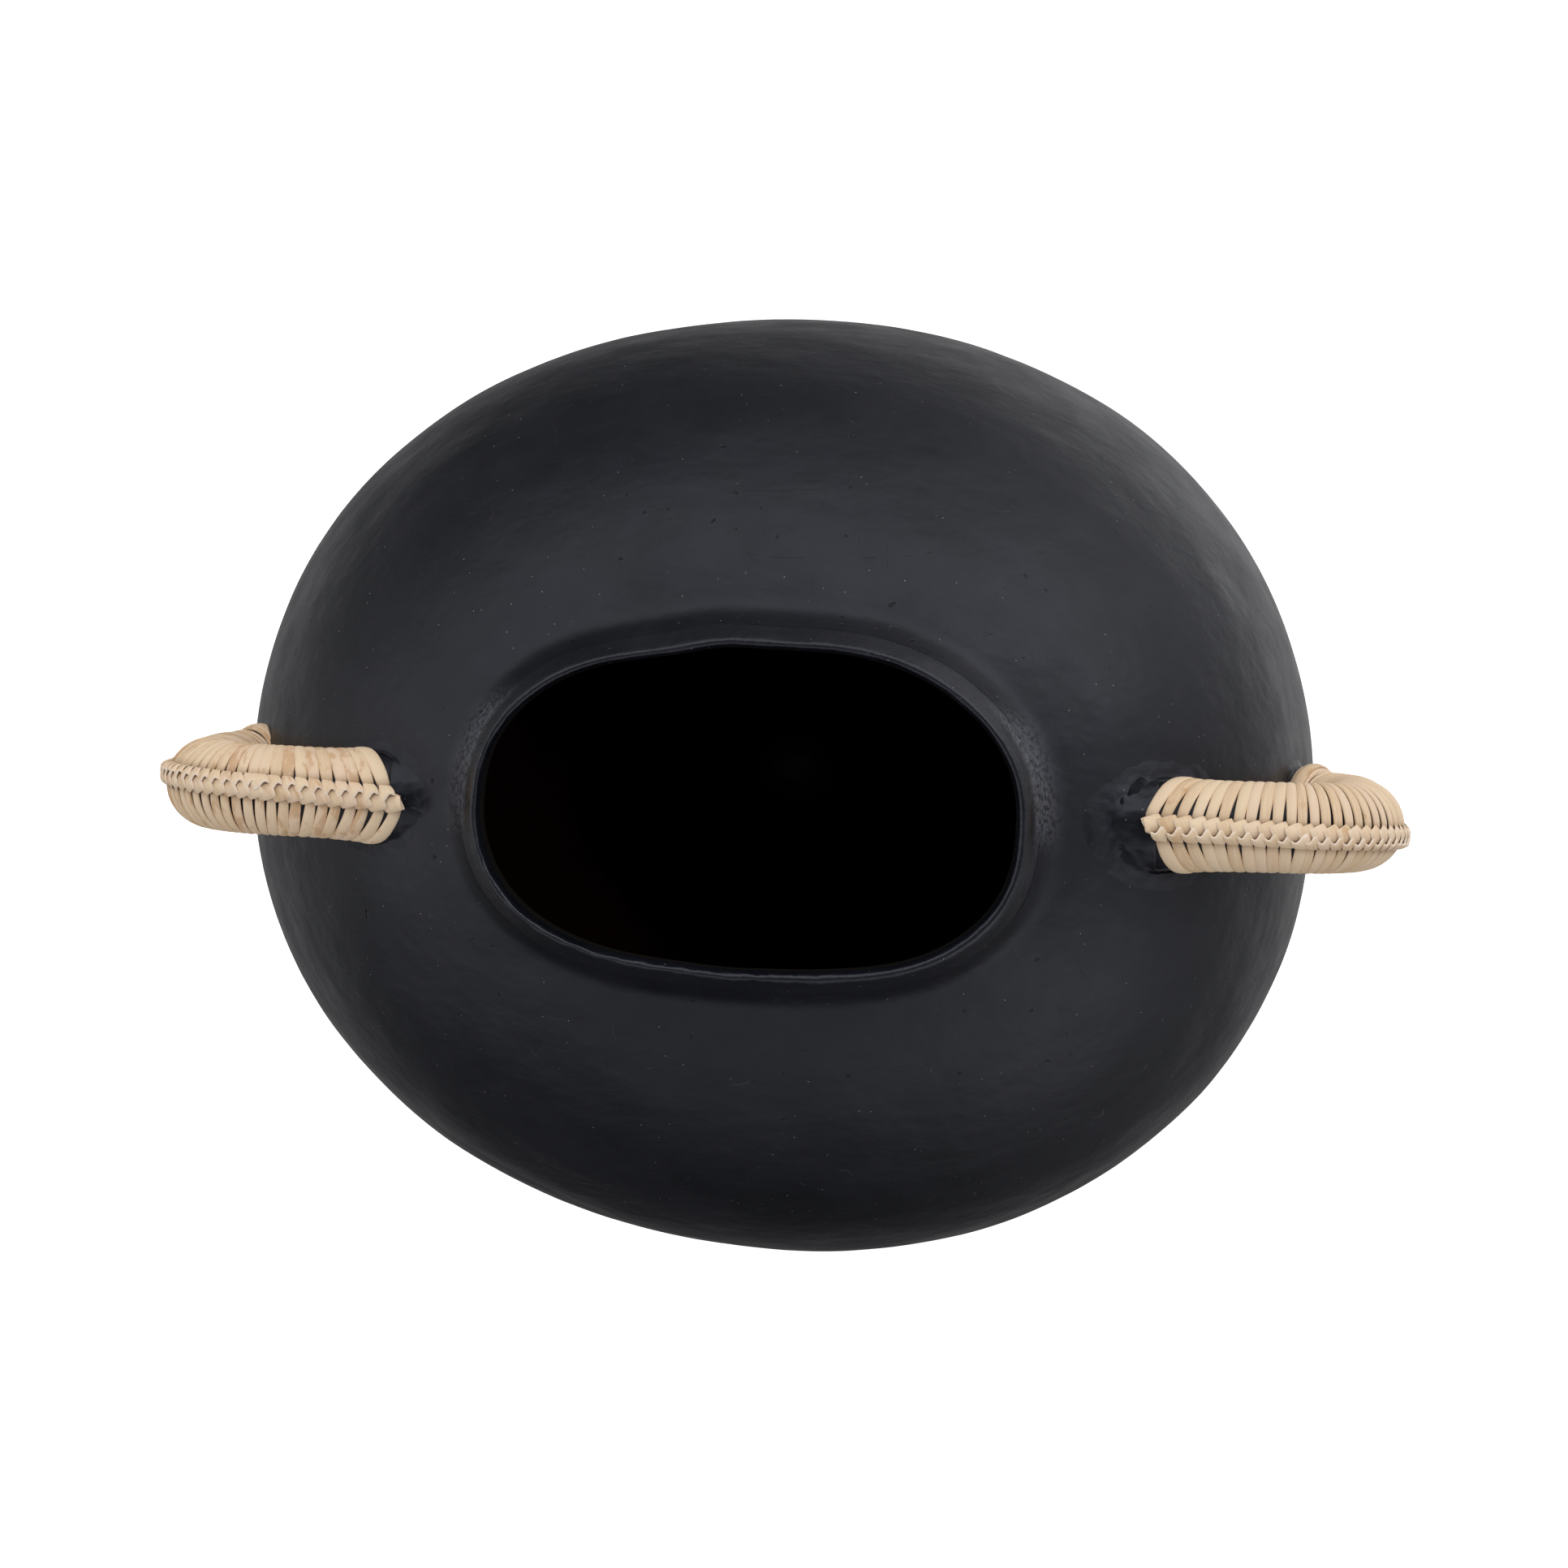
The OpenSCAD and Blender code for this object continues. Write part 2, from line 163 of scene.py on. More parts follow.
def shoulder_xy(a, w):
    """The shoulder's outline, from the neck at w = 0 to the belly at w = 1."""
    w = np.asarray(w, float)[..., None]
    return (1 - w) ** 2 * mouth_centre + (1 - w) * mouth_shape(a, neck_flare) + w * belly_xy(a)


def pressed_shoulder_xy(a, w):
    """The same, with the neck's unevenness dying away a quarter of the way down."""
    share = foot_press * np.clip(1 - 4 * w, 0, 1) ** 2
    return shoulder_xy(a, w) + polar(press_out(a) * share, a)


def lower_xy(a, w):
    return (1 - w) * base_xy(a) + w * belly_xy(a)


def rise(w, curve):
    """Share of the full height at w, which runs from 0 at the narrow end to 1 at the belly."""
    begin, power = curve
    u, u0 = (w + begin) / (1 + begin), begin / (1 + begin)
    return ((1 - u ** power) / (1 - u0 ** power)) ** (1 / power)


def w_at(share, curve):
    """The reverse of rise()."""
    begin, power = curve
    u0 = begin / (1 + begin)
    return (1 - share ** power * (1 - u0 ** power)) ** (1 / power) * (1 + begin) - begin


def shoulder_z(w):
    return belly_z + (neck_foot - belly_z) * rise(w, shoulder_curve)


def inset(xy, t):
    """An outline moved towards the middle by t."""
    return xy * (1 - t / np.linalg.norm(xy, axis=-1))[..., None]


def neck_profile(out, foot, count):
    """Pairs of "out" and height up the neck's hollow curve, from its flared foot."""
    last = 0.8                     # how far round a circle the curve goes, in radians
    turn = np.linspace(0, last, count)
    return zip(out + (neck_flare - out) * (1 - np.sin(turn) / math.sin(last)),
               foot + (neck_top - foot) * (1 - np.cos(turn)) / (1 - math.cos(last)))


# ---- Meshes ----

def link_mesh(name, vertices, faces, materials, face_material=None, attributes=None):
    """A smooth-shaded mesh in metres, with its faces turned outwards."""
    mesh = bpy.data.meshes.new(name)
    face_lists = faces if isinstance(faces, list) else faces.tolist()
    mesh.from_pydata((np.asarray(vertices) * MM).tolist(), [], face_lists)
    for material in materials:
        mesh.materials.append(material)
    if face_material is not None:
        mesh.polygons.foreach_set("material_index", face_material)
    for key, values in (attributes or {}).items():
        layer = mesh.attributes.new(key, "FLOAT", "POINT")
        layer.data.foreach_set("value", np.asarray(values, np.float32))
    mesh.polygons.foreach_set("use_smooth", [True] * len(mesh.polygons))
    shape = bmesh.new()
    shape.from_mesh(mesh)
    bmesh.ops.recalc_face_normals(shape, faces=shape.faces)
    shape.to_mesh(mesh)
    shape.free()
    piece = bpy.data.objects.new(name, mesh)
    bpy.context.scene.collection.objects.link(piece)
    return piece


def join_piece(piece, slot, *nodes):
    """Makes the piece stand for its CAD nodes, on the pot's one body."""
    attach(piece, "root")
    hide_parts(*nodes)


def grid_faces(rows, columns, closed_rows, closed_columns, first=0):
    """Quads between neighbouring rows and columns of a grid of points."""
    i = np.arange(rows if closed_rows else rows - 1)
    j = np.arange(columns if closed_columns else columns - 1)
    i, j = (x.ravel() for x in np.meshgrid(i, j, indexing="ij"))
    i2, j2 = (i + 1) % rows, (j + 1) % columns
    return first + np.stack([i * columns + j, i * columns + j2,
                             i2 * columns + j2, i2 * columns + j], -1)


def tube_faces(rows, columns):
    """The faces of a tube whose columns close round, with a face over each end."""
    last = (rows - 1) * columns
    ends = [list(range(columns)), [last + i for i in range(columns)]]
    return grid_faces(rows, columns, False, True).tolist() + ends


def smooth_rows(rows, passes):
    """Evens out neighbouring rows in place, all but the first and the last."""
    for _ in range(passes):
        rows[1:-1] = (rows[:-2] + 2 * rows[1:-1] + rows[2:]) / 4


def grid_normals(grid):
    """Unit normals of a grid whose columns close round, from its own differences."""
    along = np.gradient(grid, axis=0)
    around = np.roll(grid, -1, 1) - np.roll(grid, 1, 1)
    normals = np.cross(around, along)
    return normals / np.maximum(np.linalg.norm(normals, axis=-1), 1e-9)[..., None]


def ring_piece(name, grid, materials, face_material=None):
    """A closed ring: the grid's rows run up the outside, down the inside and back."""
    faces = grid_faces(*grid.shape[:2], True, True)
    return link_mesh(name, grid.reshape(-1, 3), faces, materials, face_material)


# ---- Shader building ----

class Shader:
    """One material's nodes, with short ways to add the usual ones."""

    def __init__(self, name):
        self.material = bpy.data.materials.new(name)
        self.material.use_nodes = True
        self.tree = self.material.node_tree
        self.tree.nodes.clear()
        place = self.tree.nodes.new("ShaderNodeTexCoord").outputs["Object"]
        self.place = self.vector("SCALE", place, scale=1 / MM)

    def add(self, kind, inputs, **settings):
        node = self.tree.nodes.new(kind)
        for key, value in settings.items():
            setattr(node, key, value)
        for key, value in inputs.items():
            if isinstance(value, bpy.types.NodeSocket):
                self.tree.links.new(value, node.inputs[key])
            else:
                node.inputs[key].default_value = value
        return node

    def vector(self, operation, *values, scale=None):
        inputs = dict(enumerate(values))
        if scale is not None:
            inputs["Scale"] = scale
        return self.add("ShaderNodeVectorMath", inputs, operation=operation).outputs[0]

    def math(self, operation, *values, clamp=False):
        node = self.add("ShaderNodeMath", dict(enumerate(values)), operation=operation)
        node.use_clamp = clamp
        return node.outputs[0]

    def stretched(self, sizes, place=None):
        return self.vector("DIVIDE", place or self.place, sizes)

    def noise(self, size, detail=2.0, roughness=0.5, place=None, distortion=0.0):
        """Noise from 0 to 1 in lumps of "size": one number, or one for each axis."""
        sizes = size if isinstance(size, tuple) else (size, size, size)
        inputs = {"Vector": self.stretched(sizes, place), "Scale": 1.0, "Detail": detail,
                  "Roughness": roughness, "Distortion": distortion}
        return self.add("ShaderNodeTexNoise", inputs).outputs["Fac"]

    def dots(self, spacing, radius, share, warp=0.0):
        """Spots of about that radius, in a random share of cells "spacing" wide."""
        place = self.place
        if warp:
            inputs = {"Vector": self.stretched((warp * 1.5,) * 3), "Scale": 1.0}
            shift = self.add("ShaderNodeTexNoise", inputs).outputs["Color"]
            place = self.vector("ADD", place, self.vector("SCALE", shift, scale=warp * 2))
        inputs = {"Vector": self.stretched((spacing,) * 3, place), "Scale": 1.0}
        cells = self.add("ShaderNodeTexVoronoi", inputs)
        spot = self.ramp(cells.outputs["Distance"], radius / spacing, radius / spacing * 0.4)
        pick = self.add("ShaderNodeSeparateColor", {"Color": cells.outputs["Color"]})
        return self.math("MULTIPLY", spot, self.math("LESS_THAN", pick.outputs[0], share))

    def ramp(self, value, low, high):
        """0 at "low" to 1 at "high", which may be the smaller of the two."""
        inputs = {"Value": value, "From Min": low, "From Max": high}
        return self.add("ShaderNodeMapRange", inputs, interpolation_type="SMOOTHSTEP").outputs[0]

    def range(self, value, low, high):
        """A 0 to 1 value spread evenly from low to high."""
        return self.add("ShaderNodeMapRange",
                        {"Value": value, "To Min": low, "To Max": high}).outputs[0]

    def line(self, value, middle, half_width):
        """1 where the value is at "middle", 0 once it is half_width away."""
        away = self.math("ABSOLUTE", self.math("SUBTRACT", value, middle))
        return self.ramp(away, half_width, 0)

    def mix(self, share, a, b):
        inputs = {"Factor": share}
        node = self.add("ShaderNodeMix", inputs, data_type="RGBA")
        for socket, value in ((node.inputs[6], a), (node.inputs[7], b)):
            if isinstance(value, bpy.types.NodeSocket):
                self.tree.links.new(value, socket)
            else:
                socket.default_value = (*value, 1)
        return node.outputs[2]

    def attribute(self, name):
        return self.add("ShaderNodeAttribute", {}, attribute_name=name).outputs["Fac"]

    def bump(self, height, depth, normal=None):
        """Relief "depth" millimetres deep, on top of an earlier one."""
        inputs = {"Height": height, "Distance": depth * MM, "Strength": 1.0}
        if normal is not None:
            inputs["Normal"] = normal
        return self.add("ShaderNodeBump", inputs).outputs[0]

    def finish(self, **inputs):
        shader = self.add("ShaderNodeBsdfPrincipled", {k.replace("_", " "): v
                                                       for k, v in inputs.items()})
        self.add("ShaderNodeOutputMaterial", {"Surface": shader.outputs[0]})
        return self.material


nick_at = (-129, -40, 240)         # a short deep nick in the shoulder
nick_size = (0.6, 1.9, 40)         # half its width, half its length, and clear through the wall
sheen_band_y = mouth_centre[1] + 12      # middle of the painted highlight bands at both ends of the neck, standing in for the rubbed flare's sheen
sheen_band_half = (27, 12)               # where they begin and where they are full, each way from it


def black_clay(name, gloss, shine, lumps, grit):
    """Smoke-blackened clay. "gloss" is about its roughness; lumps and grit are depths."""
    s = Shader(name)
    broad = s.ramp(s.noise(30, 4, 0.6), 0.32, 0.68)
    patches = s.noise((26, 18, 18), 3, 0.55)
    strokes = s.noise((14, 14, 1.6), 3)
    fine = s.noise(0.9, 4, 0.6)
    lump = s.noise(5, 2)
    specks = s.dots(4.5, 0.25, 0.8)
    pit_depth_and_shade = s.math("MULTIPLY", s.dots(7, 0.8, 0.25, 1.8), 0.6)
    nick_place = s.vector("DIVIDE", s.vector("SUBTRACT", s.place, nick_at), nick_size)
    nick_away = s.add("ShaderNodeVectorMath", {0: nick_place}, operation="LENGTH").outputs["Value"]
    pit_depth_and_shade = s.math("MAXIMUM", pit_depth_and_shade, s.math("MULTIPLY", s.ramp(nick_away, 1, 0.3), 5))
    _, y, z = s.add("ShaderNodeSeparateXYZ", {0: s.place}).outputs
    rubbed = s.ramp(z, neck_foot - 1, neck_foot + 7)
    at_end = s.ramp(s.math("ABSOLUTE", s.math("SUBTRACT", y, sheen_band_y)), *sheen_band_half)
    grains = s.ramp(s.noise(1.5, 3, 0.6), 0.30, 0.62)
    below_crest = s.ramp(z, pot_top - 4, pot_top - 8)
    painted_sheen = s.math("MULTIPLY", s.math("MULTIPLY", at_end, rubbed), s.math("MULTIPLY", grains, below_crest))
    scratch_path = s.noise((55, 16, 30), 0)
    scratch = s.math("MULTIPLY", s.line(scratch_path, 0.5, 0.0025), s.ramp(s.noise(8, 1), 0.58, 0.66))
    hair_path = s.noise((13, 60, 30), 0)
    hair = s.math("MULTIPLY", s.line(hair_path, 0.47, 0.003), s.ramp(s.noise(6, 1), 0.60, 0.68))
    marks = s.math("MAXIMUM", scratch, hair)
    color = s.mix(broad, (0.0032, 0.0036, 0.0058), (0.0064, 0.0068, 0.0106))
    # Painted highlight: a pale grey-blue band on the rubbed flare at each end of the neck stands in for its
    # sheen.
    color = s.mix(painted_sheen, color, (0.075, 0.078, 0.092))
    color = s.mix(s.math("MULTIPLY", marks, 0.3), color, (0.06, 0.058, 0.056))
    color = s.mix(s.math("MULTIPLY", specks, 0.75), color, (0.34, 0.32, 0.29))
    # Painted shade: the pits and the nick are darkened towards black, as if in their own shadow, as well as
    # sunk by the bump below.
    color = s.mix(pit_depth_and_shade, color, (0.002, 0.002, 0.002))
    uneven = s.math("ADD", s.range(s.noise(17, 3), gloss - 0.06, gloss + 0.16), s.range(fine, -0.05, 0.07))
    rough = s.math("SUBTRACT", uneven, s.math("MULTIPLY", rubbed, 0.06))
    grain = s.math("MULTIPLY", fine, s.range(rubbed, 1, 2.6))
    normal = s.bump(patches, 0.8)
    normal = s.bump(lump, lumps, normal)
    normal = s.bump(strokes, 0.011, normal)
    normal = s.bump(grain, grit, normal)
    normal = s.bump(pit_depth_and_shade, -0.5, normal)
    normal = s.bump(marks, -0.10, normal)
    return s.finish(Base_Color=color, Roughness=rough, Normal=normal, Specular_IOR_Level=shine,
                    Specular_Tint=(0.86, 0.88, 1.0, 1))


def inside_clay():
    """The unpolished inside, painted near-black as shade, with the red brown of the bare clay painted only
    on the lower left, where light falls in.
    """
    s = Shader("clay_inside")
    lit_side = s.add("ShaderNodeVectorMath", {0: s.place, 1: (-0.84, -0.54, 0)}, operation="DOT_PRODUCT")
    edge = s.math("ADD", lit_side.outputs["Value"], s.range(s.noise(30, 3), -22, 22))
    z = s.add("ShaderNodeSeparateXYZ", {0: s.place}).outputs[2]
    painted_lit_patch = s.math("MULTIPLY", s.ramp(edge, 68, 88), s.ramp(z, inner_neck_foot + 1, inner_neck_foot - 7))
    # Painted light and shade: near-black stands in for the deep shade inside, and the red brown patch stands
    # for light reaching the lower left of the inner wall.
    color = s.mix(painted_lit_patch, (0.0048, 0.0044, 0.0032), (0.092, 0.026, 0.020))
    normal = s.bump(s.noise((12, 12, 2.5), 3), 0.3)
    return s.finish(Base_Color=color, Roughness=0.8, Normal=normal, Specular_IOR_Level=0.08)


def flat_cane(name, blotches):
    """Split cane: fine lines along each strip, brown blotches, pale cut edges that also serve as painted
    highlights, and painted shade in the crevices.
    """
    s = Shader(name)
    across, along = s.attribute("across"), s.attribute("along")
    tint, edge = s.attribute("tint"), s.attribute("edge")
    strip = s.add("ShaderNodeCombineXYZ", {0: across, 1: along, 2: s.math("MULTIPLY", tint, 90)})
    fibre = s.noise((0.10, 9, 1), 3, 0.6, place=strip.outputs[0])
    broad_fibre = s.noise((0.35, 16, 1), 2, place=strip.outputs[0])
    color = s.mix(tint, (0.84, 0.655, 0.455), (0.70, 0.485, 0.29))
    pink = s.ramp(s.math("FRACT", s.math("MULTIPLY", tint, 7.3)), 0.45, 1)
    color = s.mix(s.math("MULTIPLY", pink, 0.7), color, (0.83, 0.625, 0.475))
    color = s.mix(s.ramp(broad_fibre, 0.35, 0.75), color, (0.84, 0.65, 0.45))
    color = s.mix(s.math("MULTIPLY", s.ramp(fibre, 0.56, 0.72), 0.22), color, (0.50, 0.31, 0.16))
    stain = s.ramp(s.math("ADD", s.noise((3.0, 6.5, 1), 2, 0.6, place=strip.outputs[0]),
                          s.range(tint, -0.10, 0.10)), 0.66 - blotches, 0.82 - blotches)
    color = s.mix(s.math("MULTIPLY", stain, 0.6), color, (0.56, 0.31, 0.13))
    spots = s.dots(4, 0.22, 0.22)
    color = s.mix(s.math("MULTIPLY", spots, 0.55), color, (0.36, 0.17, 0.07))
    # A positive edge mark paints the cut edges pale: partly their own colour, partly a painted highlight.
    color = s.mix(s.math("MULTIPLY", edge, 0.75, clamp=True), color, (0.95, 0.82, 0.70))
    # A negative edge mark is painted shade in crevices and under overlapping cane.
    color = s.mix(s.math("MULTIPLY", edge, -0.75, clamp=True), color, (0.30, 0.17, 0.085))
    rough = s.range(s.noise(2.5, 3), 0.40, 0.58)
    normal = s.bump(fibre, 0.05)
    normal = s.bump(s.noise(1.8, 2), 0.05, normal)
    return s.finish(Base_Color=color, Roughness=rough, Normal=normal)


# ---- Clay vessel ----

around = 400                       # points round each level
polish = 0.6                       # how much of the hand relief is rubbed off by the lip
angles = np.arange(around) * TAU / around


def level(xy, z):
    return np.concatenate([xy, np.full((around, 1), z)], 1)


def hand_relief(points):
    """How far the hand-smoothed surface stands out from the even curve."""
    stretched = points * (0.45, 0.45, 1)
    return (0.95 * noise(points, 66, 21) + 0.34 * noise(stretched, 17, 22)
            + 0.06 * noise(stretched, 5.5, 23) + 0.03 * noise(points, 4, 24))


def even_steps(heights, radii, count):
    """Places from 0 to 1 that cut the curve of heights and radii into even lengths."""
    place = np.linspace(0, 1, len(heights))
    length = np.concatenate([[0], np.cumsum(np.hypot(np.diff(heights), np.diff(radii)))])
    return np.interp(np.linspace(0, length[-1], count), length, place)


def curve_steps(curve, height, count):
    """Values of w at even lengths along one of the wall's two curves."""
    w = np.linspace(0, 1, 400)
    return even_steps(height * rise(w, curve), (belly_half_w - base_half_w) * w, count)


def build_wall():
    """The wall from the slab to inside the lip: one skin outside and one inside."""
    under = [level(inset(base_xy(angles), 5), 0.4), level(inset(base_xy(angles), 1.6), 0.1)]
    low = [level(lower_xy(angles, w), belly_z * (1 - rise(w, lower_curve)))
           for w in curve_steps(lower_curve, belly_z, 50)]
    top = [level(pressed_shoulder_xy(angles, w), shoulder_z(w))
           for w in curve_steps(shoulder_curve, neck_foot - belly_z, 102)[::-1][1:]]
    neck = [lip_level(angles, out, z) for out, z in neck_profile(half_lip, neck_foot, 16)][1:]
    inner_height = inner_neck_foot - belly_z
    inner_neck = [lip_level(angles, out, z)
                  for out, z in neck_profile(-half_lip, inner_neck_foot, 10)][::-1]
    inner_top = [level(inset(pressed_shoulder_xy(angles, w), wall * w),
                       belly_z + inner_height * rise(w, shoulder_curve))
                 for w in curve_steps(shoulder_curve, inner_height, 22)[1:]]
    inner_low = [level(inset(lower_xy(angles, w), wall * w),
                       belly_z - (belly_z - floor_z) * rise(w, lower_curve))
                 for w in curve_steps(lower_curve, belly_z, 18)[::-1][1:]]
    outside = under + low + top + neck
    grid = np.array(outside + inner_neck + inner_top + inner_low)
    near_neck = len(under + low + top) - 13        # a few rows below the neck's foot
    smooth_rows(grid[near_neck:len(outside)], 26)
    z = grid[..., 2]
    fade = smooth_step(0, 12, z) * (1 - polish * smooth_step(neck_foot, neck_top, z))
    grid += grid_normals(grid) * (hand_relief(grid) * fade)[..., None]
    inside = np.repeat(np.arange(len(grid)) > len(outside) + 2, around).astype(int)
    return ring_piece("clay_wall", grid, [clay, shaded_inside_clay], inside)


def build_base():
    """The slab, just inside the wall's foot, with a softened lower edge."""
    # How far inside the foot's outline, and how high
    rows = [(6.5, 0.0), (4.6, 0.5), (3.6, 2.0), (1.2, 6.0), (-0.8, floor_z)]
    grid = np.array([level(inset(base_xy(angles), t), z) for t, z in rows])
    grid[:, :, 2] += 0.12 * noise(grid, 30, 31) * (grid[:, :, 2] > 1)
    return link_mesh("clay_base", grid.reshape(-1, 3), tube_faces(len(rows), around), [clay])


def build_lip():
    """The last coil, rising from the neck to a narrow crest at its inner side.

    The crest is folded over at the lower left of the mouth, and left rough at the front."""
    # How far outside the crest's line, and how high above the neck
    outer_face = [(2.4, -5.6), (3.2, -3.0), (3.8, -1.2), (3.75, 0.2), (2.95, 1.8), (2.15, 3.4), (1.4, 5.1),
                  (0.7, 6.7), (0.0, 8.2), (-0.5, 9.1)]
    crest = [(-0.9, 9.6), (-1.4, 9.9), (-1.95, 9.9), (-2.45, 9.6), (-2.8, 9.0)]
    inner_face = [(-3.2, 7.6), (-3.5, 5.0), (-3.7, 2.5), (-3.7, 0), (-3.3, -3), (-2.0, -6), (0.3, -6.5)]
    rows = outer_face + crest + inner_face
    grid = np.array([lip_level(angles, out, neck_top + z) for out, z in rows])
    ring = np.array([level(mouth_xy(angles, 0), 0)])
    lift = smooth_step(neck_top, pot_top, grid[..., 2])
    sway = 0.7 * noise(ring, 45, 41) + 0.35 * noise(ring, 13, 42) - 0.5
    near_crest = np.array([math.exp(-((out + 1.7) / 0.9) ** 2 - ((z - 9.9) / 1.2) ** 2) for out, z in rows])
    fold = bell(angles, 212, 33) * (0.9 + 1.3 * noise(ring, 6, 45)[0])
    rough = 0.12 + 0.38 * bell(angles, 268, 24)
    bumps = 0.30 * noise(grid, 16, 43) + 0.12 * noise(grid, 5, 44) + rough * noise(grid, 2.4, 46)
    kink = near_crest[:, None] * fold * 0.8 * noise(ring, 9, 47)
    grid[..., :2] *= 1 + (kink / np.linalg.norm(ring[..., :2], axis=-1))[..., None]
    grid += grid_normals(grid) * (bumps * lift + (1 - polish) * hand_relief(grid))[..., None]
    grid[..., 2] += sway * lift + near_crest[:, None] * fold
    inside = np.repeat(np.arange(len(rows)) > len(outer_face + crest), around).astype(int)
    return ring_piece("clay_lip", grid, [lip_clay, shaded_inside_clay], inside)


# ---- Handle loops ----

bend_r = 23.5                      # of the loop's middle line
ridge_twist = 0.22                 # how far the ridge has turned towards -Y by the end of the bend
leg_taper = 0.8                    # how much is off the loop's radius between its root and foot
smear_skin = 2.4                   # how deep under its surface a smear is closed


class Loop:
    """One handle's axis: a straight upper leg, a bend, a drop and a lower bend to its foot.

    A place on it is s, which is x along the leg and then goes on round by length."""

    def __init__(self, side, sway):
        self.side, self.sway = side, sway
        self.sign = 1 if side == "right" else -1
        low, high = corners(side + "_handle_core")
        self.core_r = (high[1] - low[1]) / 2
        self.y = (high[1] + low[1]) / 2
        self.leg_z = high[2] - self.core_r
        tip = (high[0] if side == "right" else -low[0]) - self.core_r
        collar_low, collar_high = corners(side + "_lower_collar")
        self.foot_z = (collar_low[2] + collar_high[2]) / 2
        self.bend_end = tip - bend_r
        self.drop_start = self.bend_end + bend_r * math.pi / 2
        foot_x = self.wall_x(0, self.foot_z)
        self.foot_turn = math.acos((foot_x - self.bend_end) / bend_r)
        self.drop = self.leg_z - bend_r - (self.foot_z + bend_r * math.sin(self.foot_turn))
        self.drop_end = self.drop_start + self.drop
        self.foot = self.drop_end + bend_r * self.foot_turn

    def placed(self, points):
        """From the loop's own frame, where it points along +X, to the pot's."""
        return points * (self.sign, self.sign, 1) + (0, self.y, 0)

    def wall_x(self, y, z):
        """Distance of the wall's face from the middle, "y" off the loop's line, at height z."""
        y, z = np.broadcast_arrays(np.asarray(y, float), np.asarray(z, float))
        w = w_at((np.clip(z, belly_z, neck_foot - 0.5) - belly_z) / (neck_foot - belly_z), shoulder_curve)
        target = self.y + self.sign * y
        start = 0 if self.sign > 0 else math.pi
        a = np.full(w.shape, float(start))
        for _ in range(4):
            xy = shoulder_xy(a, w)
            a = a + self.sign * (target - xy[..., 1]) / np.linalg.norm(xy, axis=-1)
        return np.abs(shoulder_xy(a, w)[..., 0])

    def frame_at(self, s):
        """Axis points, and the unit vectors along the loop and out to its ridge."""
        s = np.asarray(s, float)
        t1 = np.clip((s - self.bend_end) / bend_r, 0, math.pi / 2)
        t2 = np.clip((s - self.drop_end) / bend_r, 0, None)
        turn = t1 + t2
        x = np.minimum(s, self.bend_end) + bend_r * (np.sin(t1) - 1 + np.cos(t2))
        z = self.leg_z - bend_r * (1 - np.cos(t1)) - np.clip(s - self.drop_start, 0, self.drop) \
            - bend_r * np.sin(t2)
        zero = np.zeros_like(x)
        axis = np.stack([x, zero, z], -1)
        ahead = np.stack([np.cos(turn), zero, -np.sin(turn)], -1)
        out = np.stack([np.sin(turn), zero, np.cos(turn)], -1)
        return axis, ahead, out

    def surface(self, s, theta, r):
        """Points at distance r from the axis, theta round from the ridge towards +Y."""
        s, theta, r = np.broadcast_arrays(s, theta, r)
        along = np.clip((s - start_s) / (self.drop_start - start_s), 0, 1)
        past_root = smooth_step(start_s + 4, start_s + 26, s)
        slim = past_root * (1 - smooth_step(self.foot - 12, self.foot - 4, s))
        theta, r = theta - ridge_twist * along, r - leg_taper * slim
        axis, ahead, out = self.frame_at(s)
        axis[..., 1] += self.sway * along
        side = np.array([0, 1, 0])
        radial = out * np.cos(theta)[..., None] + side * np.sin(theta)[..., None]
        return axis + radial * r[..., None], radial, ahead

    def stretch(self, s, theta, r):
        """Real length at a place for each unit of s, which is more outside a bend."""
        begins = [smooth_step(place - 3, place + 3, s) for place in (self.bend_end, self.drop_start,
                                                                     self.drop_end)]
        return 1 + (begins[0] - begins[1] + begins[2]) * r * np.cos(theta) / bend_r

    def ridge_stretch(self, s):
        return self.stretch(np.array([s]), 0, self.core_r + 2)[0]


def build_core(loop):
    """The clay loop itself, from inside the wall at its root to inside the wall at its foot."""
    sides, count, sunk = 48, 110, 2.0
    theta = np.arange(sides) * TAU / sides
    r = loop.core_r - 0.15
    root = loop.wall_x(r * np.sin(theta), loop.leg_z + r * np.cos(theta)) - sunk
    end = np.full(sides, loop.foot)
    for _ in range(3):
        points, _, ahead = loop.surface(end, theta, r)
        gap = points[:, 0] - (loop.wall_x(points[:, 1], points[:, 2]) - sunk)
        end = end + np.clip(gap / np.abs(ahead[:, 0]), -6, 9)
    share = np.linspace(0, 1, count)[:, None]
    s = root + (end - root) * share
    grid, radial, _ = loop.surface(s, theta, r)
    grid = loop.placed(grid)
    outward = radial * (loop.sign, loop.sign, 1)
    grid += outward * (0.18 * noise(grid, 9, 51) - 0.1)[..., None]
    return link_mesh(f"{loop.side}_loop", grid.reshape(-1, 3), tube_faces(count, sides), [clay])


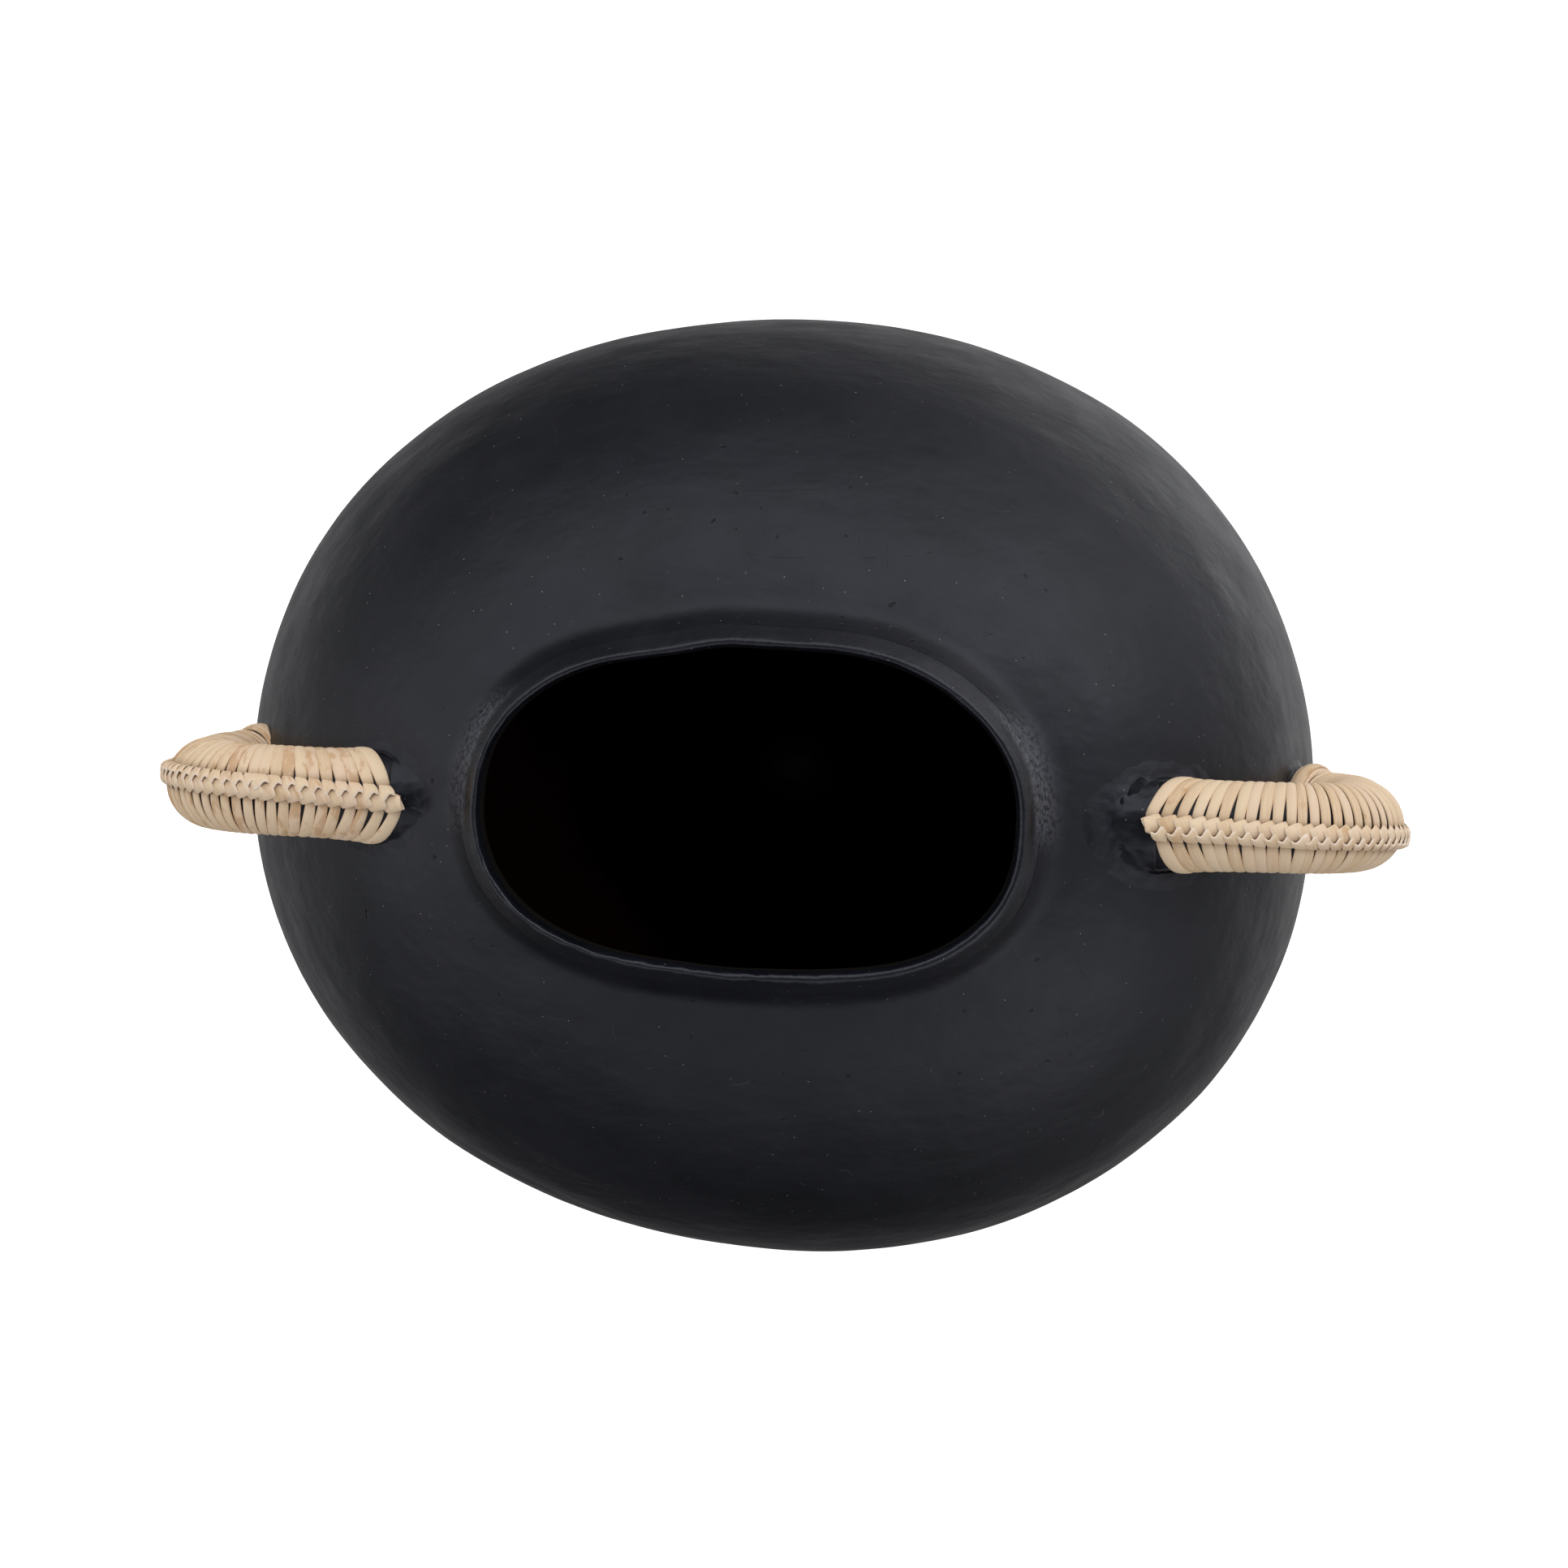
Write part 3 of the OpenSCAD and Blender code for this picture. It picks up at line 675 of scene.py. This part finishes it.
def smear(loop, name, on_loop, on_wall, loop_out, wall_out, seed):
    """A lumpy skin of clay, from rows of points on the loop to rows out over the wall."""
    rows = np.concatenate([on_loop, on_wall])
    out = np.concatenate([np.broadcast_to(loop_out, on_loop.shape),
                          np.broadcast_to(wall_out, on_wall.shape)])
    smooth_rows(rows, 14)          # rounds the corner between the loop and the wall
    smooth_rows(out, 14)
    out /= np.linalg.norm(out, axis=-1)[..., None]
    placed, out = loop.placed(rows), out * (loop.sign, loop.sign, 1)
    share = np.linspace(0, 1, len(rows))[:, None]
    rough = 0.9 + 0.8 * noise(placed, 6, seed) + 0.35 * noise(placed, 2.6, seed + 1)
    lift = (3.6 * rough * (0.1 + share) + 0.2) * (1 - share) ** 2 - 0.5 * share ** 3
    lift += hand_relief(placed) * smooth_step(0.15, 0.5, share)
    placed = placed + lift[..., None] * out
    under = [placed[-1] - smear_skin * out[-1], placed[0] - smear_skin * out[0]]
    return ring_piece(name, np.concatenate([placed, under]), [smeared])


def ragged_reach(loop, ring, spread, seed):
    """How far a smear reaches over the wall at each point of a ring."""
    placed = loop.placed(ring)
    return spread * (1 + 0.25 * noise(placed, 10, seed) + 0.08 * noise(placed, 4, seed + 1))


def build_upper_smear(loop, spread, seed):
    """Clay smeared round the root, where the leg leaves the sloping shoulder."""
    sides = 130
    theta = np.arange(sides) * TAU / sides
    y = loop.core_r * np.sin(theta)
    ring = np.stack([loop.wall_x(y, loop.leg_z + loop.core_r * np.cos(theta)), y, 0 * y], -1)
    middle = np.array([(ring[:, 0].max() + ring[:, 0].min()) / 2, 0, 0])
    half = (ring.max(0) - ring.min(0)) / 2
    out = (ring - middle) / (half ** 2 + (0, 0, 1))
    out /= np.linalg.norm(out, axis=1)[:, None]
    reach = ragged_reach(loop, ring, spread, seed)[:, None]
    heights = np.linspace(belly_z + 1, neck_foot - 0.6, 70)
    on_wall = []
    for t in np.linspace(0.04, 1, 22):
        at = ring + out * reach * t
        face = loop.wall_x(at[:, 1:2], heights[None, :])
        z = [np.interp(-x, -row, heights) for x, row in zip(at[:, 0], face)]
        on_wall.append(np.stack([at[:, 0], at[:, 1], z], -1))
    top = np.maximum(start_s + 1.5, ring[:, 0] + 1.5)
    s = top + (ring[:, 0] - top) * np.linspace(0, 0.96, 12)[:, None]
    on_loop, radial, _ = loop.surface(s, theta, loop.core_r)
    return smear(loop, f"{loop.side}_upper_smear", on_loop, np.array(on_wall), radial, (0.55, 0, 0.83),
                 seed + 2)


def build_lower_smear(loop, seed):
    """Clay smeared round the foot, on the steep wall above the belly."""
    sides, spread = 110, 6.0
    theta = np.arange(sides) * TAU / sides
    grip, _, _ = loop.surface(loop.foot, theta, loop.core_r)
    centre_z = grip[:, 2].mean()
    reach = 1 + ragged_reach(loop, grip, spread, seed) / loop.core_r
    on_wall = []
    for t in np.linspace(0.04, 1, 18):
        out = 1 + (reach - 1) * t
        y, z = grip[:, 1] * out, centre_z + (grip[:, 2] - centre_z) * out
        on_wall.append(np.stack([loop.wall_x(y, z), y, z], -1))
    s = loop.foot + np.linspace(-4, -0.3, 8)[:, None] + 0 * theta
    on_loop, radial, _ = loop.surface(s, theta, loop.core_r)
    return smear(loop, f"{loop.side}_lower_smear", on_loop, np.array(on_wall), radial, (1, 0, 0.1),
                 seed + 2)


# ---- Cane binding ----

cane_t = 0.95                      # thickness of a strip
cane_w = 4.15                      # its full width
ridge_c = 2.9                      # half width of the ridge, where bands end on each side
first_lean = 24.5                  # how far the first turn leans out by the time it is underneath
start_s = 119.0                    # where the first turn meets the ridge
ridge_pitch = 4.2                  # from one turn to the next along the ridge
first_gap = 1.7                    # how much wider it starts, before it settles in a turn or two
end_band_length = 7.0              # what the last rings cover, before the foot


class Strips:
    """Gathers the pieces of one cane mesh, with what its material needs to know."""

    def __init__(self, loop, seed):
        self.loop = loop
        self.random = np.random.default_rng(seed)
        self.points, self.faces = [], []
        self.marks = {"across": [], "along": [], "tint": [], "edge": []}
        self.count = 0

    def keep(self, grid, faces, across, along, tint, edge):
        shape = grid.shape[:2]
        self.points.append(self.loop.placed(grid).reshape(-1, 3))
        self.faces += [[self.count + i for i in face] for face in faces]
        self.count += grid.shape[0] * grid.shape[1]
        for key, value in zip(self.marks, (across, along, tint, edge)):
            self.marks[key].append(np.broadcast_to(value, shape).ravel())

    def ribbon(self, centre, side, up, half_width, thickness, tint, tilt=0.0, start=0.0, shaded_ends=0.0):
        """A strip along centre, flat underneath and slightly crowned, with rounded edges."""
        corner = np.array([-1, -0.96, -0.8, -0.4, 0, 0.4, 0.8, 0.96, 1, 0.9, 0.3, -0.3, -0.9])
        lift = np.array([0.1, 0.42, 0.72, 0.95, 1, 0.95, 0.72, 0.42, 0.1, -0.1, -0.1, -0.1, -0.1])
        half_width = np.broadcast_to(half_width, len(centre))[:, None, None]
        rise_by = (lift[None, :] * thickness + np.asarray(tilt).reshape(-1, 1) * corner)[..., None]
        grid = centre[:, None] + side[:, None] * corner[None, :, None] * half_width \
            + up[:, None] * rise_by
        step = np.linalg.norm(np.diff(centre, axis=0), axis=1)
        along = start + np.concatenate([[0], np.cumsum(step)])[:, None]
        end = np.linspace(0, 1, len(centre))[:, None]
        in_knot = 1 - smooth_step(0, 0.045, end) + smooth_step(0.955, 1, end)
        # Pale at the strip's cut edges, with painted shade at its ends, where they tuck under the ridge.
        edge = (np.abs(corner) > 0.97) * 0.35 - shaded_ends * in_knot
        self.keep(grid, tube_faces(*grid.shape[:2]), corner * 2, along, tint, edge)

    def patch(self, top, up, thickness, tint, along, pale_side):
        """A thin folded piece: a grid of points, its thickness below them, rounded at the rim."""
        rows, columns = top.shape[:2]
        rim = np.zeros((rows, columns))
        rim[0], rim[-1], rim[:, 0], rim[:, -1] = 1, 1, 1, 1
        top = top - up * (0.22 * thickness * rim)[..., None]
        below = top - up * (thickness * (1 - 0.3 * rim))[..., None]
        grid = np.stack([top, below]).reshape(2 * rows, columns, 3)
        n = rows * columns
        faces = grid_faces(rows, columns, False, False).tolist()
        faces += grid_faces(rows, columns, False, False, n)[:, ::-1].tolist()
        border = list(range(columns)) + [i * columns + columns - 1 for i in range(1, rows)]
        border += [(rows - 1) * columns + j for j in range(columns - 2, -1, -1)]
        border += [i * columns for i in range(rows - 2, 0, -1)]
        for i, a in enumerate(border):
            b = border[(i + 1) % len(border)]
            faces.append([a, b, b + n, a + n])
        across = np.linspace(-2, 2, columns)[None, :]
        edge = np.zeros((2 * rows, columns))
        edge[rows:] = 0.5
        edge[:rows][rim > 0] = 0.35
        # The loop's curled rim is pale: its cut edge, lightened further as a painted highlight.
        if pale_side == "end":
            edge[rows - 1], edge[2 * rows - 1] = 1, 1
            edge[rows - 2], edge[rows - 3] = 0.9, 0.2
        else:
            # Painted shade on the strap: darker towards the loop that covers it, and along its right edge
            # under the next strap. Its left edge is pale.
            edge[:rows] -= 0.9 * smooth_step(0.35, 0.75, np.linspace(0, 1, rows))[:, None]
            edge[:rows, -1] -= 0.5
            edge[:rows - 3, 0] = 0.9
        self.keep(grid, faces, across, along, tint, edge)

    def build(self, name, material):
        marks = {key: np.concatenate(values) for key, values in self.marks.items()}
        return link_mesh(name, np.concatenate(self.points), self.faces, [material], None, marks)


def turn_places(loop):
    """Where each turn of cane meets the ridge, from the first to the last before the foot."""
    places, s = [], start_s
    while s < loop.foot - end_band_length:
        places.append(s)
        pitch = ridge_pitch + first_gap * math.exp(-len(places) / 1.6)
        s += pitch / loop.ridge_stretch(s + pitch / 2)
    return np.array(places)


def band(strips, s, pitch, extra_width=0.0, lift=0.0):
    """One turn of cane, from the ridge's +Y side round the inside to its -Y side."""
    loop = strips.loop
    r = loop.core_r + 0.25 + lift
    ridge_angle = (ridge_c - 0.6) / r
    theta = np.linspace(ridge_angle, TAU - ridge_angle - 0.06, 54)
    from_ridge = np.minimum(theta, TAU - theta)
    lean_share = np.clip((from_ridge - 0.26) / (math.pi - 0.26), 0, 1) ** 1.15
    along_leg = np.clip((loop.bend_end - s) / (loop.bend_end - start_s), 0, 1)
    lean = first_lean * along_leg
    wander = strips.random.normal(0, 0.12) + 0.22 * np.sin(theta + strips.random.uniform(0, TAU))
    advance = smooth_step(0.2, TAU - 0.2, theta) * 0.72 * pitch
    place = s + lean * lean_share + advance - 0.9 + wander * pitch / 4.5
    centre, up, ahead = loop.surface(place, theta, r)
    way = np.gradient(centre, axis=0)
    way /= np.linalg.norm(way, axis=1)[:, None]
    side = np.cross(way, up)
    side *= np.sign(np.sum(side * ahead, 1))[:, None]
    room = pitch * loop.stretch(place, theta, r) * np.abs(np.sum(side * ahead, 1))
    room = room * (1 - 0.55 * along_leg * smooth_step(1.2, math.pi, from_ridge))
    width = np.minimum(cane_w + extra_width, 0.98 * room)
    plus_side = 0.77 + 0.23 * smooth_step(1, 16, from_ridge * r)
    minus_side = 0.85 + 0.15 * smooth_step(3, 10, from_ridge * r)
    width = width * np.where(theta < math.pi, plus_side, minus_side)
    overlap = np.clip(width / room - 0.90, 0, 1)
    tilt = -1.1 * overlap * strips.random.uniform(0.7, 1.2) + strips.random.normal(0, 0.07)
    tint = strips.random.uniform(0, 1)
    strips.ribbon(centre, side, up, width / 2, cane_t, tint, tilt, strips.random.uniform(0, 400), 0.8)
    return tint


def ridge_patch(loop, s, shape, heights, bulge, rows, columns):
    """A grid between four corners given as (along, across) the ridge, raised over it."""
    v = np.linspace(0, 1, rows)[:, None]
    u = np.linspace(0, 1, columns)[None, :]
    c00, c01, c10, c11 = [np.array(c, float) for c in shape]
    flat = ((1 - v) * (1 - u))[..., None] * c00 + ((1 - v) * u)[..., None] * c01 \
        + (v * (1 - u))[..., None] * c10 + (v * u)[..., None] * c11
    flat = flat + bulge(u, v)
    height = heights(u, v)
    scale = 1 / loop.ridge_stretch(s)
    place = s + flat[..., 0] * scale
    r = loop.core_r + height
    points, up, _ = loop.surface(place, flat[..., 1] / (loop.core_r + 1.5), r)
    return points, up


def hitch(strips, s, size, tint):
    """One hitch: the +Y band folds into a strap over the ridge, held by the -Y band's loop.

    The strap's tip is long and sharp, and lies over the loop of the hitch before."""
    loop = strips.loop
    jog = strips.random.normal(0, 0.14, 5)

    def strap_bulge(u, v):
        bow = np.sin(math.pi * v)
        hollow_tip = -0.55 * (1 - u) * np.sin(math.pi * np.clip(v * 1.6, 0, 1))
        return np.stack([bow * 0.45 * u + hollow_tip, bow * (0.35 * u - 0.1) + 0 * u], -1)

    def strap_height(u, v):
        crown = np.sin(math.pi * np.clip(0.16 + 0.86 * v, 0, 1)) ** 0.75
        tip = np.exp(-u ** 2 / 0.16 - v ** 2 / 0.10) - 2.2 * u ** 2 * (1 - v) ** 3
        return 0.9 + size * (2.2 * crown + 0.25 * np.sin(math.pi * u) + 0.75 * (0.55 - u) + 0.5 * tip)

    shape = [(-3.7 * size + jog[0], 2.6 + 0.5 * jog[4]), (1.5 * size, 4.9 + jog[1]), (0.5 * size, -3.5),
             (3.6 * size, -2.4)]
    top, up = ridge_patch(loop, s, shape, strap_height, strap_bulge, 11, 9)
    strips.patch(top, up, 0.5, tint, strips.random.uniform(0, 99) + np.linspace(0, 6, 22)[:, None], "side")

    def loop_bulge(u, v):
        out = np.sin(math.pi * v)
        along = out * 0.45 * (2 * u - 1) - 0.3 * (1 - u) * v
        dip = -1.45 * v ** 1.6 * np.exp(-((u - 0.40) / 0.27) ** 2)
        return np.stack([along + 0 * u, dip + 0.25 * out * u], -1)

    def loop_height(u, v):
        arms = np.abs(2 * u - 0.8) ** 1.5
        return 0.9 + size * (2.9 * np.sin(math.pi * (0.04 + 0.56 * v)) ** 0.8 + 0.25 * v - 0.5 * arms * v)

    shape = [(0.9 * size, -4.4), (4.0 * size, -4.4 + jog[2]), (-0.8 * size, -0.8 + jog[3]),
             (3.0 * size, 1.5)]
    top, up = ridge_patch(loop, s, shape, loop_height, loop_bulge, 11, 11)
    strips.patch(top, up, 0.62, tint, strips.random.uniform(0, 99) + np.linspace(0, 6, 22)[:, None], "end")


def end_ring(strips, s, lift, width, lean):
    """A full ring wound over the others at the lower foot."""
    loop = strips.loop
    theta = np.linspace(0, TAU, 61)
    r = loop.core_r + 0.3 + lift
    place = s + lean * np.cos(theta + 0.6)
    centre, up, ahead = loop.surface(place, theta, r)
    strips.ribbon(centre, ahead, up, width / 2, cane_t, strips.random.uniform(0, 1), 0.25 * lift / 2.6,
                  strips.random.uniform(0, 400))


def rolled_tail(strips):
    """The strip's end, rolled into a small open tube that faces the pot's mouth."""
    loop = strips.loop
    turn = np.linspace(-0.75 * math.pi, 1.45 * math.pi, 44)
    radius = np.linspace(1.1, 1.6, len(turn))
    axis = np.array([start_s - 1.2, 0.4, loop.leg_z + loop.core_r + 2.0])
    lie = np.array([0.80, -0.25, -0.54])
    lie /= np.linalg.norm(lie)
    y, z = radius * 1.3 * np.sin(turn), -radius * 0.95 * np.cos(turn)
    centre = axis + np.stack([0 * turn, y, z], -1)
    way = np.gradient(centre, axis=0)
    way /= np.linalg.norm(way, axis=1)[:, None]
    side = np.broadcast_to(lie, centre.shape)
    up = np.cross(way, side)
    up *= np.sign(np.sum(up * (centre - axis), 1))[:, None]
    half_length = 2.3 + 0.5 * np.sin(turn)
    strips.ribbon(centre, side, up, half_length, 0.4, 0.3, 0, 20)


def bind(loop, cane_look, hitch_look, ring_shift, seed):
    """All the cane on one handle, piece by piece as the CAD has it."""
    places = turn_places(loop)
    pitches = np.gradient(places)
    side = loop.side
    turns, hitches = Strips(loop, seed), Strips(loop, seed + 1)
    first, last, tail = Strips(loop, seed + 2), Strips(loop, seed + 3), Strips(loop, seed + 4)
    tints = [band(first, places[0], pitches[0], 0.5, 0.3)]
    tints += [band(turns, s, pitch) for s, pitch in zip(places[1:], pitches[1:])]
    for s, pitch, tint in zip(places, pitches, tints):
        size = pitch * loop.ridge_stretch(s + pitch / 2) / 4.4
        hitch(hitches, s, min(size, 1.08), tint)
    # The last rings: how far from the foot, how far out, how wide, and how far each one leans
    for s, lift, width, lean in [(-6.6, 0.6, 4.0, 0.3), (-3.4, 0.9, 4.2, 0.2), (-5.0, 1.7, 4.2, 0.5)]:
        end_ring(last, loop.foot + s + ring_shift, lift, width, lean)
    rolled_tail(tail)
    join_piece(turns.build(f"{side}_cane", cane_look), "cane", f"{side}_cane_turns")
    join_piece(hitches.build(f"{side}_hitches", hitch_look), "cane_hitches", f"{side}_ridge_hitches")
    join_piece(first.build(f"{side}_first_turn", cane_look), "cane", f"{side}_upper_end_band")
    join_piece(last.build(f"{side}_last_turns", cane_look), "cane", f"{side}_lower_end_band")
    join_piece(tail.build(f"{side}_tail", hitch_look), "cane_hitches", f"{side}_cane_tail")


# ---- Floor, light and camera ----

def build_floor():
    half = 6.0                     # metres
    mesh = bpy.data.meshes.new("floor")
    mesh.from_pydata([(-half, -half, 0), (half, -half, 0), (half, half, 0), (-half, half, 0)], [],
                     [(0, 1, 2, 3)])
    floor = bpy.data.objects.new("floor", mesh)
    bpy.context.scene.collection.objects.link(floor)
    s = Shader("pale_floor")
    paper = s.add("ShaderNodeBsdfDiffuse", {"Color": (0.9, 0.9, 0.9, 1)})
    glow = s.add("ShaderNodeEmission", {"Color": (1, 1, 1, 1), "Strength": 0.75})
    both = s.add("ShaderNodeAddShader", {0: paper.outputs[0], 1: glow.outputs[0]})
    s.add("ShaderNodeOutputMaterial", {"Surface": both.outputs[0]})
    mesh.materials.append(s.material)
    floor.visible_diffuse = False
    floor.visible_glossy = False


def build_world(lights):
    """Soft studio light as smooth patches of brightness round the object."""
    world = bpy.data.worlds.new("studio")
    bpy.context.scene.world = world
    world.use_nodes = True
    tree = world.node_tree
    tree.nodes.clear()

    def node(kind, *inputs, **settings):
        made = tree.nodes.new(kind)
        for key, value in settings.items():
            setattr(made, key, value)
        for i, value in enumerate(inputs):
            if isinstance(value, bpy.types.NodeSocket):
                tree.links.new(value, made.inputs[i])
            else:
                made.inputs[i].default_value = value
        return made

    way = tree.nodes.new("ShaderNodeTexCoord").outputs["Generated"]
    total = 0.0
    for bearing, height, tightness, strength in lights:
        across, up = math.radians(bearing), math.radians(height)
        middle = (math.cos(up) * math.cos(across), math.cos(up) * math.sin(across), math.sin(up))
        toward = node("ShaderNodeVectorMath", way, middle, operation="DOT_PRODUCT")
        away = node("ShaderNodeMath", toward.outputs["Value"], 1.0, operation="SUBTRACT")
        power = node("ShaderNodeMath", away.outputs[0], tightness, operation="MULTIPLY")
        glow = node("ShaderNodeMath", power.outputs[0], operation="EXPONENT")
        total = node("ShaderNodeMath", glow.outputs[0], strength, total, operation="MULTIPLY_ADD").outputs[0]
    seen = tree.nodes.new("ShaderNodeLightPath").outputs["Is Camera Ray"]
    level_mix = node("ShaderNodeMix", seen, data_type="FLOAT")
    tree.links.new(total, level_mix.inputs[2])
    level_mix.inputs[3].default_value = 1.0
    background = node("ShaderNodeBackground", (1, 1, 1, 1), level_mix.outputs[0])
    node("ShaderNodeOutputWorld", background.outputs[0])


def build_camera():
    """Above the pot and a little towards its far side, looking down into the mouth."""
    aim = Vector((-1, 0, belly_z)) * MM
    place = aim + Vector((50, 90, 1600)) * MM
    view_width = 536.7             # what the picture spans at the belly
    roll = math.radians(2)
    camera = bpy.data.objects.new("camera", bpy.data.cameras.new("camera"))
    camera.data.sensor_width = 36
    camera.data.lens = camera.data.sensor_width * (place - aim).length / (view_width * MM)
    camera.data.clip_end = 50
    back = (place - aim).normalized()
    right = Vector((-math.sin(roll), math.cos(roll), 0)).cross(back).normalized()
    up = back.cross(right)
    camera.matrix_world = Matrix.LocRotScale(place, Matrix((right, up, back)).transposed(), None)
    bpy.context.scene.collection.objects.link(camera)
    bpy.context.scene.camera = camera
    bpy.context.scene.view_settings.view_transform = "Standard"


# ---- The whole scene ----

clay = black_clay("clay", 0.34, 0.34, 0.09, 0.030)
lip_clay = black_clay("clay_lip", 0.29, 0.46, 0.16, 0.05)
smeared = black_clay("clay_smeared", 0.29, 0.35, 0.30, 0.07)
shaded_inside_clay = inside_clay()

join_piece(build_wall(), "black_clay", "foot_wall", "lower_belly", "upper_belly", "shoulder_wall",
           "neck_coil")
join_piece(build_base(), "black_clay", "base_slab")
join_piece(build_lip(), "burnished_lip", "rim_lip")

# For each handle: its sway, how blotched its cane is, a seed, how far its upper smear reaches, and
# how far its last turns are shifted towards the wall.
looks = {"right": (0.9, 0.0, 61, 10.5, 0.0), "left": (-1.4, 0.15, 71, 7.5, 3.2)}
for side, (sway, blotches, seed, spread, ring_shift) in looks.items():
    loop = Loop(side, sway)
    join_piece(build_core(loop), "black_clay", f"{side}_handle_core")
    join_piece(build_upper_smear(loop, spread, seed + 100), "luting_clay", f"{side}_upper_collar")
    join_piece(build_lower_smear(loop, seed + 200), "luting_clay", f"{side}_lower_collar")
    bind(loop, flat_cane(f"{side}_cane", blotches), flat_cane(f"{side}_hitch_cane", blotches * 0.6),
         ring_shift, seed)

build_floor()

# Each light is its bearing, its height, how tight it is, and its strength.
behind = [(43, 22, 8, 2.2), (90, 30, 8, 1.4), (135, 28, 8, 1.2)]
front = [(225, 28, 8, 1.0), (275, 35, 8, 0.5), (315, 18, 8, 1.35)]
sides = [(180, 14, 9, 1.15), (180, -50, 8, 0.4), (0, 0, 8, 0.2), (0, -50, 8, 0.38), (45, -45, 8, 0.8),
         (0, -90, 8, 0.25)]
build_world(behind + front + sides)
build_camera()
